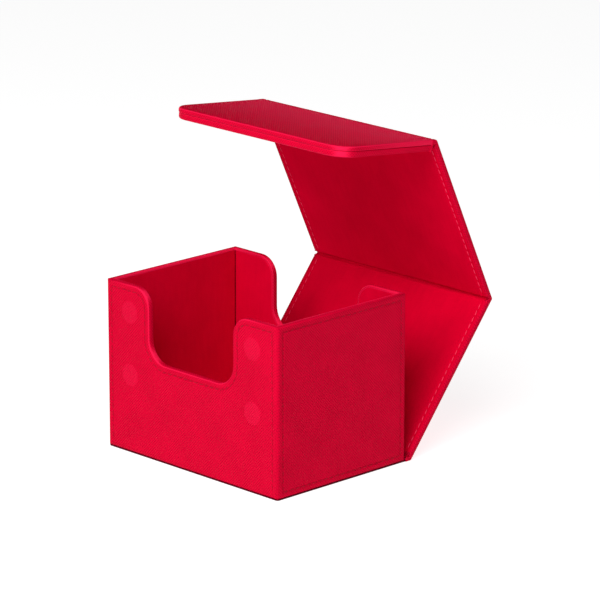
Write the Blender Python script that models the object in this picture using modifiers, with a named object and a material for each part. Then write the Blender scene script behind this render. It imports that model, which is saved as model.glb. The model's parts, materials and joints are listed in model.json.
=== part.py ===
"""Side-opening card deck box: an open tray of four board walls on a base, with a three-panel folding lid.

Frame: metres, +Z up. The origin is the centre of the underside of the base, at floor level. The front
wall faces -Y, the lid is hinged along X at the bottom rear edge, and it stands part open at rest.

Every panel is a sandwich: leatherette skin outside, board in the middle, microfibre lining inside. Each
panel is drawn in its own flat frame, X across it, Y along it and Z inward from its outer face, and it
hangs on an empty that carries it to its place.
"""

from math import cos, pi, radians, sin

import bmesh
import bpy

# Overall size of the tray
WIDTH = 0.107
DEPTH = 0.077
HEIGHT = 0.076

# Layers, from the outside in
SKIN = 0.0006
GLUE = 0.0003  # between two layers that are bonded face to face
WALL_BOARD = 0.0012
LID_BOARD = 0.0008
FLAP_BOARD = 0.0010
MAGNET_BOARD = 0.0019
LINING = 0.0006

# Finger cut-out in the front and rear walls
NOTCH_WIDTH = 0.0525
NOTCH_DEPTH = 0.032
NOTCH_LIP_RADIUS = 0.009
NOTCH_FLOOR_RADIUS = 0.010

# Lid
LID_OVERHANG = 0.0005  # each side, past the tray
LID_CLEARANCE = 0.0008  # closed lid to the front and rear walls
TOP_CLEARANCE = 0.0028  # closed lid to the tops of the walls
FLAP_LENGTH = 0.0565  # from its fold
FLAP_TAPER = 0.0008  # each side, over the length of the flap
FLAP_CORNER_RADIUS = 0.010
HINGE_DEPTH = 0.0010  # of each fold's axis under the outer face
HINGE_SLACK = 0.0007  # board end to the other panel's inner face, closed

# Turn of each fold at rest: 0 is flat and 90 is closed
BASE_FOLD_TURN = radians(51.3)
TOP_FOLD_TURN = radians(63.5)
FLAP_FOLD_TURN = radians(59.0)

# Magnets in the front wall, and the ones in the flap that meet them
MAGNET_DIAMETER = 0.011
MAGNET_CLEARANCE = 0.0003
MAGNET_INWARD = 0.0015  # from the middle of the wall beside the cut-out, towards the cut-out
MAGNET_UPPER_DROP = 0.0123  # from the top of the wall
MAGNET_END_MARGIN = 0.0116  # lower magnets to the flap's free end

# Seams
THREAD_DIAMETER = 0.00035
THREAD_LIFT = 0.0001  # thread to the face it lies on
SEAM_SIDE_INSET = 0.0035
SEAM_EDGE_INSET = 0.00275
SEAM_FLOOR_INSET = 0.0040
LID_SEAM_INSET = 0.0030

# Fineness of round stretches
ARC_STEPS = 8
FOLD_STEPS = 6
DISC_SIDES = 32
THREAD_ROUNDNESS = 2
WELD_DISTANCE = 1e-6
CUT_MARGIN = 0.002  # how far a cutter runs past what it cuts

WALL = SKIN + GLUE + WALL_BOARD + GLUE + LINING
LID_PANEL = SKIN + GLUE + LID_BOARD + GLUE + LINING
FLAP = SKIN + GLUE + FLAP_BOARD + GLUE + MAGNET_BOARD + GLUE + LINING
LID_WIDTH = WIDTH + 2 * LID_OVERHANG
NOTCH_HALF = NOTCH_WIDTH / 2
NOTCH_FLOOR = HEIGHT - NOTCH_DEPTH

FOLD_SETBACK = LID_PANEL - HINGE_DEPTH + HINGE_SLACK  # fold's axis to the end of each panel's board
FOLD_Y = DEPTH / 2 + LID_CLEARANCE + LID_PANEL - HINGE_DEPTH
BACK_LENGTH = HEIGHT + TOP_CLEARANCE + LID_PANEL - 2 * HINGE_DEPTH  # fold to fold
TOP_LENGTH = DEPTH + 2 * LID_CLEARANCE + LID_PANEL + FLAP - 2 * HINGE_DEPTH
FLAP_FOLD_RISE = TOP_CLEARANCE + LID_PANEL - HINGE_DEPTH  # flap's fold above the walls, closed
MAGNET_LOWER_DROP = FLAP_LENGTH - FLAP_FOLD_RISE - MAGNET_END_MARGIN
MAGNET_X = (NOTCH_HALF + WIDTH / 2) / 2 - MAGNET_INWARD

# Finishes: colour, roughness, metallic
LEATHERETTE = ((0.60, 0.004, 0.030), 0.45, 0.0)
MICROFIBRE = ((0.42, 0.002, 0.020), 0.95, 0.0)
SEWING_THREAD = ((0.50, 0.004, 0.030), 0.50, 0.0)
GREY_BOARD = ((0.30, 0.28, 0.25), 0.90, 0.0)
NICKEL = ((0.60, 0.60, 0.58), 0.30, 1.0)


def clear_scene():
    for obj in list(bpy.data.objects):
        bpy.data.objects.remove(obj)


def new_collection(name, hidden=False):
    collection = bpy.data.collections.new(name)
    collection.hide_render = hidden
    bpy.context.scene.collection.children.link(collection)
    return collection


def place(obj, collection, seat=None, at=(0, 0, 0)):
    collection.objects.link(obj)
    obj.parent = seat
    obj.location = at
    return obj


def paint(obj, finish):
    colour, roughness, metallic = finish
    material = bpy.data.materials.new(obj.name)
    material.use_nodes = True
    shader = material.node_tree.nodes["Principled BSDF"]
    shader.inputs["Base Color"].default_value = (*colour, 1)
    shader.inputs["Roughness"].default_value = roughness
    shader.inputs["Metallic"].default_value = metallic
    obj.data.materials.append(material)
    return obj


def seat(name, at, turn=(0, 0, 0), parent=None):
    """An empty that carries one panel, on its fold's axis where it has one."""
    empty = place(bpy.data.objects.new(name, None), parts, parent, at)
    empty.rotation_euler = turn
    return empty


def arc(centre, radius, start, end, steps=ARC_STEPS):
    """Points along an arc between two angles in degrees."""
    angles = [radians(start + (end - start) * step / steps) for step in range(steps + 1)]
    return [(centre[0] + radius * cos(a), centre[1] + radius * sin(a)) for a in angles]


def mirrored(points):
    """The same points on the other side of x = 0, in reverse order, to close an outline."""
    return [(-x, y) for x, y in reversed(points)]


# Shapes


def mesh_object(name, bm, collection, on, at=(0, 0, 0)):
    mesh = bpy.data.meshes.new(name)
    bm.to_mesh(mesh)
    bm.free()
    return place(bpy.data.objects.new(name, mesh), collection, on, at)


def slab(name, half_width, y_span, z_span, on, collection=None):
    """A plain rectangular layer, given by its half width, its span along the panel and its depths."""
    bm = bmesh.new()
    bmesh.ops.create_cube(bm, size=1)
    size = (2 * half_width, y_span[1] - y_span[0], z_span[1] - z_span[0])
    bmesh.ops.scale(bm, vec=size, verts=bm.verts)
    bmesh.ops.translate(bm, vec=(0, sum(y_span) / 2, sum(z_span) / 2), verts=bm.verts)
    return mesh_object(name, bm, collection or parts, on)


def disc(name, diameter, middle, z_span, on, collection=None):
    bm = bmesh.new()
    radius = diameter / 2
    bmesh.ops.create_cone(
        bm, cap_ends=True, segments=DISC_SIDES, radius1=radius, radius2=radius, depth=z_span[1] - z_span[0]
    )
    bmesh.ops.translate(bm, vec=(*middle, sum(z_span) / 2), verts=bm.verts)
    return mesh_object(name, bm, collection or parts, on)


def curve_object(name, points, dimensions, closed):
    curve = bpy.data.curves.new(name, "CURVE")
    curve.dimensions = dimensions
    spline = curve.splines.new("POLY")
    spline.points.add(len(points) - 1)
    for knot, point in zip(spline.points, points):
        knot.co = (*point, 1) if len(point) == 3 else (*point, 0, 1)
    spline.use_cyclic_u = closed
    return bpy.data.objects.new(name, curve)


def sheet(name, outline, z_span, on, collection=None):
    """A flat outline cut from sheet, as a mesh, between two depths."""
    flat = curve_object(name, outline, "2D", closed=True)
    flat.data.fill_mode = "BOTH"
    flat.data.extrude = (z_span[1] - z_span[0]) / 2
    place(flat, cutters)
    mesh = bpy.data.meshes.new_from_object(flat.evaluated_get(bpy.context.evaluated_depsgraph_get()))
    bpy.data.curves.remove(flat.data)
    bm = bmesh.new()
    bm.from_mesh(mesh)
    bpy.data.meshes.remove(mesh)
    bmesh.ops.remove_doubles(bm, verts=bm.verts, dist=WELD_DISTANCE)
    bmesh.ops.translate(bm, vec=(0, 0, sum(z_span) / 2), verts=bm.verts)
    return mesh_object(name, bm, collection or parts, on)


def mitre(obj, half_width):
    """Slopes both ends in at 45 degrees with depth, so that two walls meet at a corner."""
    bm = bmesh.new()
    bm.from_mesh(obj.data)
    for side in (1, -1):
        everything = bm.verts[:] + bm.edges[:] + bm.faces[:]
        bmesh.ops.bisect_plane(
            bm, geom=everything, plane_co=(side * half_width, 0, 0), plane_no=(side, 0, 1), clear_outer=True
        )
        bmesh.ops.holes_fill(bm, edges=[edge for edge in bm.edges if edge.is_boundary])
    bm.to_mesh(obj.data)
    bm.free()
    return obj


def cut(obj, cutter):
    cutter.hide_render = True
    cutter.display_type = "WIRE"
    boolean = obj.modifiers.new(cutter.name, "BOOLEAN")
    boolean.operation = "DIFFERENCE"
    boolean.object = cutter
    return obj


def thread(name, points, on, closed=False):
    """A seam's thread, laid along a line of points."""
    tube = curve_object(name, points, "3D", closed)
    tube.data.bevel_depth = THREAD_DIAMETER / 2
    tube.data.bevel_resolution = THREAD_ROUNDNESS
    tube.data.use_fill_caps = True
    return paint(place(tube, parts, on), SEWING_THREAD)


def folded_strip(name, profile, width, thickness, offset, on, at):
    """A strip across two panels, bent to a line of points in the plane of the fold."""
    bm = bmesh.new()
    line = [bm.verts.new((-width / 2, y, z)) for y, z in profile]
    edges = [bm.edges.new(pair) for pair in zip(line, line[1:])]
    pulled = bmesh.ops.extrude_edge_only(bm, edges=edges)["geom"]
    far_side = [item for item in pulled if isinstance(item, bmesh.types.BMVert)]
    bmesh.ops.translate(bm, vec=(width, 0, 0), verts=far_side)
    bm.normal_update()
    bm.faces.ensure_lookup_table()
    if bm.faces[0].normal.z > 0:
        bmesh.ops.reverse_faces(bm, faces=bm.faces)
    strip = mesh_object(name, bm, parts, on, at)
    wall_of_strip = strip.modifiers.new("thickness", "SOLIDIFY")
    wall_of_strip.thickness = thickness
    wall_of_strip.offset = offset
    wall_of_strip.use_even_offset = True
    return strip


# Outlines


def notched(half_width, bottom, inset):
    """A wall with the finger cut-out, drawn in from its top edge and from the cut-out by an inset."""
    floor_centre = (NOTCH_HALF - NOTCH_FLOOR_RADIUS, NOTCH_FLOOR + NOTCH_FLOOR_RADIUS)
    lip_centre = (NOTCH_HALF + NOTCH_LIP_RADIUS, HEIGHT - NOTCH_LIP_RADIUS)
    right = arc(floor_centre, NOTCH_FLOOR_RADIUS + inset, -90, 0)
    right += arc(lip_centre, NOTCH_LIP_RADIUS - inset, 180, 90)
    right += [(half_width, HEIGHT - inset), (half_width, bottom)]
    return right + mirrored(right)


def plain(half_width, bottom, inset):
    right = [(half_width, HEIGHT - inset), (half_width, bottom)]
    return right + mirrored(right)


def flap_outline(inset, start):
    """The flap, a little narrower at its free end, which has round corners."""
    half = LID_WIDTH / 2 - inset
    radius = FLAP_CORNER_RADIUS - inset
    corner_centre = (half - FLAP_TAPER - radius, FLAP_LENGTH - inset - radius)
    right = [(half, start)] + arc(corner_centre, radius, 0, 90)
    return right + mirrored(right)


# The tray


def wall(side, length, outline, on, magnets=()):
    """One wall's skin, board and lining. The skin turns over the top edge and the finger cut-out."""
    half = length / 2
    skin = mitre(sheet(side + "_skin", outline(half, SKIN + GLUE, 0), (0, WALL), on), half - GLUE)
    hollow_depths = (SKIN, WALL + CUT_MARGIN)
    cut(skin, sheet(side + "_hollow", outline(half + CUT_MARGIN, 0, SKIN), hollow_depths, on, cutters))
    paint(skin, LEATHERETTE)

    board_depths = (SKIN + GLUE, WALL - LINING - GLUE)
    board_low = SKIN + 2 * GLUE + WALL_BOARD
    board_outline = outline(half - board_depths[1] - GLUE, board_low, SKIN + GLUE)
    board = paint(sheet(side + "_board", board_outline, board_depths, on), GREY_BOARD)
    for number, middle in enumerate(magnets, 1):
        hole_depths = (board_depths[0] - GLUE / 2, board_depths[1] + GLUE / 2)
        hole = disc(f"{side}_magnet_hole_{number}", MAGNET_DIAMETER + 2 * MAGNET_CLEARANCE, middle,
                    hole_depths, on, cutters)
        cut(board, hole)
        paint(disc(f"{side}_magnet_{number}", MAGNET_DIAMETER, middle, board_depths, on), NICKEL)

    lining_outline = outline(half - WALL - GLUE, WALL + GLUE, SKIN + GLUE)
    paint(sheet(side + "_lining", lining_outline, (WALL - LINING, WALL), on), MICROFIBRE)


def notched_seam(name, half_width, on):
    """Up one side, along the top and round the finger cut-out, and down the other side."""
    run = notched(half_width - SEAM_SIDE_INSET, SEAM_FLOOR_INSET, SEAM_EDGE_INSET)
    lift = -THREAD_LIFT - THREAD_DIAMETER / 2
    half_run = len(run) // 2
    ordered = run[half_run:] + run[:half_run]
    thread(name, [(x, y, lift) for x, y in ordered], on)


def ring_seam(name, half_width, on):
    """A rectangle of stitching just inside a plain wall's edges."""
    x, low, high = half_width - SEAM_SIDE_INSET, SEAM_FLOOR_INSET, HEIGHT - SEAM_EDGE_INSET
    lift = -THREAD_LIFT - THREAD_DIAMETER / 2
    thread(name, [(-x, low, lift), (x, low, lift), (x, high, lift), (-x, high, lift)], on, closed=True)


def magnet_middles(measure):
    """The four magnets' centres, at heights that the given function makes from their drops."""
    drops = (MAGNET_UPPER_DROP, MAGNET_LOWER_DROP)
    return [(x, measure(drop)) for drop in drops for x in (-MAGNET_X, MAGNET_X)]


def tray():
    upright = pi / 2
    front = seat("front_wall_seat", (0, -DEPTH / 2, 0), (upright, 0, pi))
    rear = seat("rear_wall_seat", (0, DEPTH / 2, 0), (upright, 0, 0))
    right = seat("right_wall_seat", (WIDTH / 2, 0, 0), (upright, 0, -pi / 2))
    left = seat("left_wall_seat", (-WIDTH / 2, 0, 0), (upright, 0, pi / 2))
    wall("front", WIDTH, notched, front, magnet_middles(lambda drop: HEIGHT - drop))
    wall("rear", WIDTH, notched, rear)
    wall("right", DEPTH, plain, right)
    wall("left", DEPTH, plain, left)
    notched_seam("front_seam", WIDTH / 2, front)
    notched_seam("rear_seam", WIDTH / 2, rear)
    ring_seam("right_seam", DEPTH / 2, right)
    ring_seam("left_seam", DEPTH / 2, left)

    skin_end = FOLD_Y - FOLD_SETBACK
    paint(slab("base_skin", WIDTH / 2, (-DEPTH / 2, skin_end), (0, SKIN), None), LEATHERETTE)
    # The base board lies inside the walls' skins, and the base lining inside their boards
    for name, low, high, finish in (("base_board", SKIN + GLUE, SKIN + GLUE + WALL_BOARD, GREY_BOARD),
                                    ("base_lining", WALL - LINING, WALL, MICROFIBRE)):
        half_depth = DEPTH / 2 - low
        paint(slab(name, WIDTH / 2 - low, (-half_depth, half_depth), (low, high), None), finish)


# The lid


def channel_skin(name, y_span, on):
    """A lid panel's skin, which turns in over both side edges."""
    skin = slab(name, LID_WIDTH / 2, y_span, (0, LID_PANEL), on)
    past_ends = (y_span[0] - CUT_MARGIN, y_span[1] + CUT_MARGIN)
    hollow_depths = (SKIN, LID_PANEL + CUT_MARGIN)
    cut(skin, slab(name + "_hollow", LID_WIDTH / 2 - SKIN, past_ends, hollow_depths, on, cutters))
    paint(skin, LEATHERETTE)


def lid_panel(side, length, on):
    """A rectangular panel between two folds."""
    y_span = (FOLD_SETBACK, length - FOLD_SETBACK)
    inner_half = LID_WIDTH / 2 - SKIN - GLUE
    channel_skin(side + "_skin", y_span, on)
    board_depths = (SKIN + GLUE, SKIN + GLUE + LID_BOARD)
    paint(slab(side + "_board", inner_half, y_span, board_depths, on), GREY_BOARD)
    paint(slab(side + "_lining", inner_half, y_span, (LID_PANEL - LINING, LID_PANEL), on), MICROFIBRE)
    lift = LID_PANEL + THREAD_LIFT + THREAD_DIAMETER / 2
    for hand, x in (("left", -1), ("right", 1)):
        across = x * (LID_WIDTH / 2 - LID_SEAM_INSET)
        ends = [(across, y_span[0] + LID_SEAM_INSET, lift), (across, y_span[1] - LID_SEAM_INSET, lift)]
        thread(f"{side}_{hand}_seam", ends, on)


def flap(on):
    """The front flap: two boards, the inner one with holes for the magnets."""
    start = FOLD_SETBACK
    skin = sheet("flap_skin", flap_outline(0, start), (0, FLAP), on)
    hollow_depths = (SKIN, FLAP + CUT_MARGIN)
    cut(skin, sheet("flap_hollow", flap_outline(SKIN, start - CUT_MARGIN), hollow_depths, on, cutters))
    paint(skin, LEATHERETTE)
    inner = flap_outline(SKIN + GLUE, start)
    board_depths = (SKIN + GLUE, SKIN + GLUE + FLAP_BOARD)
    paint(sheet("flap_board", inner, board_depths, on), GREY_BOARD)
    carrier_depths = (board_depths[1] + GLUE, board_depths[1] + GLUE + MAGNET_BOARD)
    carrier = paint(sheet("flap_magnet_board", inner, carrier_depths, on), GREY_BOARD)
    paint(sheet("flap_lining", inner, (FLAP - LINING, FLAP), on), MICROFIBRE)
    for number, middle in enumerate(magnet_middles(lambda drop: drop + FLAP_FOLD_RISE), 1):
        hole_depths = (carrier_depths[0] - GLUE / 2, carrier_depths[1] + GLUE / 2)
        hole = disc(f"flap_magnet_hole_{number}", MAGNET_DIAMETER + 2 * MAGNET_CLEARANCE, middle,
                    hole_depths, on, cutters)
        cut(carrier, hole)
        paint(disc(f"flap_magnet_{number}", MAGNET_DIAMETER, middle, carrier_depths, on), NICKEL)


# The folds


def fold_skin(name, turn, on, at):
    """The outer skin where it bends round a fold's axis, between the ends of the two panels' skins."""
    end = FOLD_SETBACK - GLUE
    bend = [(HINGE_DEPTH * sin(a), -HINGE_DEPTH * cos(a)) for a in
            (turn * step / FOLD_STEPS for step in range(FOLD_STEPS + 1))]
    profile = [(-end, -HINGE_DEPTH)] + bend
    profile.append((bend[-1][0] + end * cos(turn), bend[-1][1] + end * sin(turn)))
    paint(folded_strip(name, profile, LID_WIDTH, SKIN, -1, on, at), LEATHERETTE)


def fold_lining(name, turn, next_thickness, on, at):
    """The lining where it dips into a fold, between the ends of the two panels' linings."""
    end = FOLD_SETBACK - GLUE
    height = LID_PANEL - HINGE_DEPTH - LINING / 2
    next_height = next_thickness - HINGE_DEPTH - LINING / 2
    valley_angle = (pi + turn) / 2
    valley_radius = HINGE_DEPTH - SKIN + GLUE + LINING / 2
    valley = (valley_radius * cos(valley_angle), valley_radius * sin(valley_angle))
    far = (end * cos(turn) - next_height * sin(turn), end * sin(turn) + next_height * cos(turn))
    width = LID_WIDTH - 2 * (SKIN + GLUE)
    paint(folded_strip(name, [(-end, height), valley, far], width, LINING, 0, on, at), MICROFIBRE)


clear_scene()
parts = new_collection("card_deck_box")
cutters = new_collection("cutters", hidden=True)

tray()
base_fold = seat("base_fold_axis", (0, FOLD_Y, HINGE_DEPTH), (BASE_FOLD_TURN, 0, 0))
top_fold = seat("top_fold_axis", (0, BACK_LENGTH, 0), (TOP_FOLD_TURN, 0, 0), base_fold)
flap_fold = seat("flap_fold_axis", (0, TOP_LENGTH, 0), (FLAP_FOLD_TURN, 0, 0), top_fold)
# Each panel's outer face lies under its folds' axes by the hinge depth
back_seat = seat("back_panel_seat", (0, 0, -HINGE_DEPTH), parent=base_fold)
top_seat = seat("top_panel_seat", (0, 0, -HINGE_DEPTH), parent=top_fold)
flap_seat = seat("flap_seat", (0, 0, -HINGE_DEPTH), parent=flap_fold)
lid_panel("back_panel", BACK_LENGTH, back_seat)
lid_panel("top_panel", TOP_LENGTH, top_seat)
flap(flap_seat)
fold_skin("base_fold_skin", BASE_FOLD_TURN, None, (0, FOLD_Y, HINGE_DEPTH))
fold_skin("top_fold_skin", TOP_FOLD_TURN, base_fold, (0, BACK_LENGTH, 0))
fold_skin("flap_fold_skin", FLAP_FOLD_TURN, top_fold, (0, TOP_LENGTH, 0))
fold_lining("top_fold_lining", TOP_FOLD_TURN, LID_PANEL, base_fold, (0, BACK_LENGTH, 0))
fold_lining("flap_fold_lining", FLAP_FOLD_TURN, FLAP, top_fold, (0, TOP_LENGTH, 0))
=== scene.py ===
"""The looks of a side-opening card deck box: red leatherette over board, lined with microfibre.

Metres, +Z up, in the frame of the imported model. Every panel is modelled flat, X across it, Y along it and
Z out of the face that shows, and is then settled at its place on the box.
"""

import json
from math import cos, dist, pi, radians, sin, sqrt

import bmesh
import bpy
from mathutils import Matrix, Vector


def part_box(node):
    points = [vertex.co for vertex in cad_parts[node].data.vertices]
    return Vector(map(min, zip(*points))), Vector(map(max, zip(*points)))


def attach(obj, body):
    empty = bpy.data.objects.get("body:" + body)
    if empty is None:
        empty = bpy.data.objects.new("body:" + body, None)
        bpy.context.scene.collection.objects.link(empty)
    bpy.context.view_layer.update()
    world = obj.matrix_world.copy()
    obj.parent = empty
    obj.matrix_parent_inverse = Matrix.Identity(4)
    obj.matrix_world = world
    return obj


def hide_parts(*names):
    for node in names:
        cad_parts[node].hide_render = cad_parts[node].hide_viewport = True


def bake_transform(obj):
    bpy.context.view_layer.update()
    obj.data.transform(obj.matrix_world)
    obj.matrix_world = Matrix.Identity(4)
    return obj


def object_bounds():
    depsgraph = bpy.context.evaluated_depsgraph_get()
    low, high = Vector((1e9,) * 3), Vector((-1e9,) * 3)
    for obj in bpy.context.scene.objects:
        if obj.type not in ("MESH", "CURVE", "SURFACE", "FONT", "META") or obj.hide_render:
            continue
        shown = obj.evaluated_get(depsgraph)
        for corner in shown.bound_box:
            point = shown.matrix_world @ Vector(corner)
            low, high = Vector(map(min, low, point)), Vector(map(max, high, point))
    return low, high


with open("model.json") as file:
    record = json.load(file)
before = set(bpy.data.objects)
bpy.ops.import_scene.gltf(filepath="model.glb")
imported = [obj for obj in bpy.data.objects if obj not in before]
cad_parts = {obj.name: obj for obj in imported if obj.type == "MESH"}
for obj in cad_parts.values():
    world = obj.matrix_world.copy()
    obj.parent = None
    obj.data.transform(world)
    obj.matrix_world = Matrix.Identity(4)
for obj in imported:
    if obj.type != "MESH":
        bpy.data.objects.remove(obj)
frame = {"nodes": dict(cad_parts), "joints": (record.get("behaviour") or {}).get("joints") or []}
cad_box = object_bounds()


# ---------------------------------------------------------------------------------------------------
# The studio. A long lens looks slightly down at one corner of the tray. The floor is a wide white sheet
# that glows and throws light up at the box. A strong soft box hangs high at the front right, and a weak
# one in front.
# ---------------------------------------------------------------------------------------------------

CAMERA_AIM = Vector((0.0001, 0.0265, 0.0642))
CAMERA_DISTANCE = 1.768
CAMERA_AZIMUTH = radians(45.86)
CAMERA_ELEVATION = radians(16.0)
CAMERA_LENS = 243.8

bpy.ops.object.select_all(action="DESELECT")
away = Vector((sin(CAMERA_AZIMUTH) * cos(CAMERA_ELEVATION),
               -cos(CAMERA_AZIMUTH) * cos(CAMERA_ELEVATION), sin(CAMERA_ELEVATION)))
bpy.ops.object.camera_add(location=CAMERA_AIM + away * CAMERA_DISTANCE,
                          rotation=(pi / 2 - CAMERA_ELEVATION, 0, CAMERA_AZIMUTH))
camera = bpy.context.object
camera.data.lens = CAMERA_LENS
camera.data.clip_start = 0.01
camera.data.clip_end = 100
bpy.context.scene.camera = camera
bpy.context.scene.view_settings.view_transform = "Standard"

FLOOR_SIZE = 24.0
FLOOR_DROP = 0.0001  # the floor lies this far under the base, so that the two don't share a plane
FLOOR_COLOUR = (0.35, 0.35, 0.35, 1)
FLOOR_GLOW = 0.86

bpy.ops.mesh.primitive_plane_add(size=FLOOR_SIZE, location=(0, 0, cad_box[0].z - FLOOR_DROP))
floor = bpy.context.object
floor.name = "studio_floor"
paper = bpy.data.materials.new("studio_paper")
paper.use_nodes = True
paper_shader = paper.node_tree.nodes["Principled BSDF"]
paper_shader.inputs["Base Color"].default_value = FLOOR_COLOUR
paper_shader.inputs["Roughness"].default_value = 1.0
paper_shader.inputs["Specular IOR Level"].default_value = 0.0
paper_shader.inputs["Emission Color"].default_value = (1, 1, 1, 1)
paper_shader.inputs["Emission Strength"].default_value = FLOOR_GLOW
floor.data.materials.append(paper)

WORLD_LIGHT = 0.06  # what the air gives to the box
WORLD_SEEN = 0.90  # how bright it looks to the camera, past the edge of the floor

world = bpy.data.worlds.new("studio_air")
world.use_nodes = True
air_nodes, air_links = world.node_tree.nodes, world.node_tree.links
lit_air = air_nodes["Background"]
seen_air = air_nodes.new("ShaderNodeBackground")
for air, strength in ((lit_air, WORLD_LIGHT), (seen_air, WORLD_SEEN)):
    air.inputs["Color"].default_value = (1, 1, 1, 1)
    air.inputs["Strength"].default_value = strength
mixed_air = air_nodes.new("ShaderNodeMixShader")
rays = air_nodes.new("ShaderNodeLightPath")
air_links.new(rays.outputs["Is Camera Ray"], mixed_air.inputs[0])
air_links.new(lit_air.outputs[0], mixed_air.inputs[1])
air_links.new(seen_air.outputs[0], mixed_air.inputs[2])
air_links.new(mixed_air.outputs[0], air_nodes["World Output"].inputs["Surface"])
bpy.context.scene.world = world

# Name, azimuth and elevation in degrees, distance, width and power
SOFT_BOXES = (
    ("key_soft_box", 30, 44, 1.4, 0.9, 20.0),
    ("front_soft_box", 2, 30, 1.4, 0.9, 6.0),
)

for name, azimuth, elevation, distance, width, power in SOFT_BOXES:
    turn, rise = radians(azimuth), radians(elevation)
    direction = Vector((sin(turn) * cos(rise), -cos(turn) * cos(rise), sin(rise)))
    bpy.ops.object.light_add(type="AREA", location=CAMERA_AIM + direction * distance,
                             rotation=(pi / 2 - rise, 0, turn))
    lamp = bpy.context.object
    lamp.name = name
    lamp.data.shape = "SQUARE"
    lamp.data.size = width
    lamp.data.energy = power


# ---------------------------------------------------------------------------------------------------
# Wall covers. Each wall of the tray is a board wrapped in red leatherette with a fine crossed grain,
# stretched over the top edge and the finger cut-out and turned in behind the lining. The front wall's
# cover rises a little over the four magnets in the board.
# ---------------------------------------------------------------------------------------------------

front_low, front_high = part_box("front_skin")
right_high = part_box("right_skin")[1]
TRAY_WIDTH = 2 * right_high.x
TRAY_DEPTH = -2 * front_low.y
TRAY_HEIGHT = front_high.z
WALL = front_high.y - front_low.y
LEATHER = 0.0004  # thickness of the leatherette, with its backing

CUTOUT_HALF = 0.02625
CUTOUT_DEPTH = 0.032
CUTOUT_LIP_RADIUS = 0.009
CUTOUT_FLOOR_RADIUS = 0.010
CORNER_STEPS = 10

WALL_EDGE_RADIUS = 0.0010
WALL_BACK_RADIUS = 0.0006
WALL_TURN_IN = 0.0004  # past the round back edge, to the lining
CORNER_VALLEY = 0.0006  # each cover bends in this far short of the tray's vertical corner
EDGE_STEPS = 4
FINE_EDGE_STEPS = 3

SEAM_INSET = 0.00275  # needle line to the edge of the cover
SEAM_WIDTH = 0.0012
SEAM_PRESS = 0.00022  # how deep the thread pulls the leatherette down
SEAM_SWELL = 0.00006  # how far it swells on both sides of the seam
PLAIN_STRIP = 0.0006  # where no seam crosses the foot of a wall, it ends this far above the round edge
LARGE_FACE = 0.00008  # square metres, the least of a panel's own faces
UPRIGHT = 0.999  # a face whose normal rises more than this faces up
FINE = 1e-5


def edit(piece):
    """Opens a piece in edit mode with nothing selected."""
    bpy.ops.object.select_all(action="DESELECT")
    piece.select_set(True)
    bpy.context.view_layer.objects.active = piece
    bpy.ops.object.mode_set(mode="EDIT")
    bpy.ops.mesh.select_all(action="DESELECT")


def pick(kind, passes):
    """In edit mode, selects only the VERTs, EDGEs or FACEs that pass a test."""
    bpy.ops.mesh.select_mode(type=kind)
    bpy.ops.mesh.select_all(action="DESELECT")
    cage = bmesh.from_edit_mesh(bpy.context.object.data)
    items = {"VERT": cage.verts, "EDGE": cage.edges, "FACE": cage.faces}[kind]
    for item in items:
        if passes(item):
            item.select_set(True)
    bmesh.update_edit_mesh(bpy.context.object.data)


def middle(item):
    """The middle of an edge."""
    return (item.verts[0].co + item.verts[1].co) / 2


def blank(name, half_width, low, high):
    """A flat rectangle of the size given, facing up, open in edit mode."""
    bpy.ops.object.select_all(action="DESELECT")
    bpy.ops.mesh.primitive_plane_add(size=1, calc_uvs=False, location=(0, (low + high) / 2, 0))
    piece = bpy.context.object
    piece.name = piece.data.name = name
    piece.scale = (2 * half_width, high - low, 1)
    bpy.ops.object.transform_apply(location=True, rotation=True, scale=True)
    edit(piece)
    return piece


def slice_at(point, normal, clear=False):
    """Cuts what is selected at a plane, and takes away what lies in front of it if asked to."""
    bpy.ops.mesh.bisect(plane_co=point, plane_no=normal, clear_outer=clear, threshold=1e-6)


def round_corners(radius, passes, steps=CORNER_STEPS):
    """Rounds the corners of a flat blank that pass a test."""
    pick("VERT", passes)
    bpy.ops.mesh.bevel(offset=radius, offset_type="OFFSET", segments=steps, affect="VERTICES")


def cut_out(inset):
    """Takes the finger cut-out from a blank in edit mode, wider by an inset on each side."""
    half, floor_y = CUTOUT_HALF + inset, TRAY_HEIGHT - CUTOUT_DEPTH - inset
    across, up = (1, 0, 0), (0, 1, 0)
    for point, normal in (((half, 0, 0), across), ((-half, 0, 0), across), ((0, floor_y, 0), up)):
        bpy.ops.mesh.select_all(action="SELECT")
        slice_at(point, normal)
    pick("FACE", lambda face: abs(face.calc_center_median().x) < half
         and face.calc_center_median().y > floor_y)
    bpy.ops.mesh.delete(type="FACE")
    bpy.ops.mesh.select_all(action="SELECT")
    bpy.ops.mesh.dissolve_limited(angle_limit=radians(1))
    round_corners(CUTOUT_LIP_RADIUS - inset,
                  lambda vert: abs(abs(vert.co.x) - half) < FINE and vert.co.y > floor_y + FINE)
    round_corners(CUTOUT_FLOOR_RADIUS + inset,
                  lambda vert: abs(abs(vert.co.x) - half) < FINE and abs(vert.co.y - floor_y) < FINE)


def rounded(radius, steps=EDGE_STEPS):
    """The inset and the height of each step round a quarter turn, from the side up to the face."""
    turns = [pi / 2 * step / steps for step in range(steps + 1)]
    return [(radius * (1 - cos(turn)), radius * sin(turn) - radius) for turn in turns]


def seam_dip(inset):
    """The steps of a pressed seam: a swell, the dip under the thread, a swell, and flat again."""
    half = SEAM_WIDTH / 2
    flank, swell = half / 2, 1.8 * half
    return [(inset - swell, SEAM_SWELL), (inset - half, 0), (inset - flank, -0.7 * SEAM_PRESS),
            (inset, -SEAM_PRESS), (inset + flank, -0.7 * SEAM_PRESS), (inset + half, 0),
            (inset + swell, SEAM_SWELL), (inset + 2.6 * half, 0), (inset + 3.0 * half, 0)]


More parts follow.
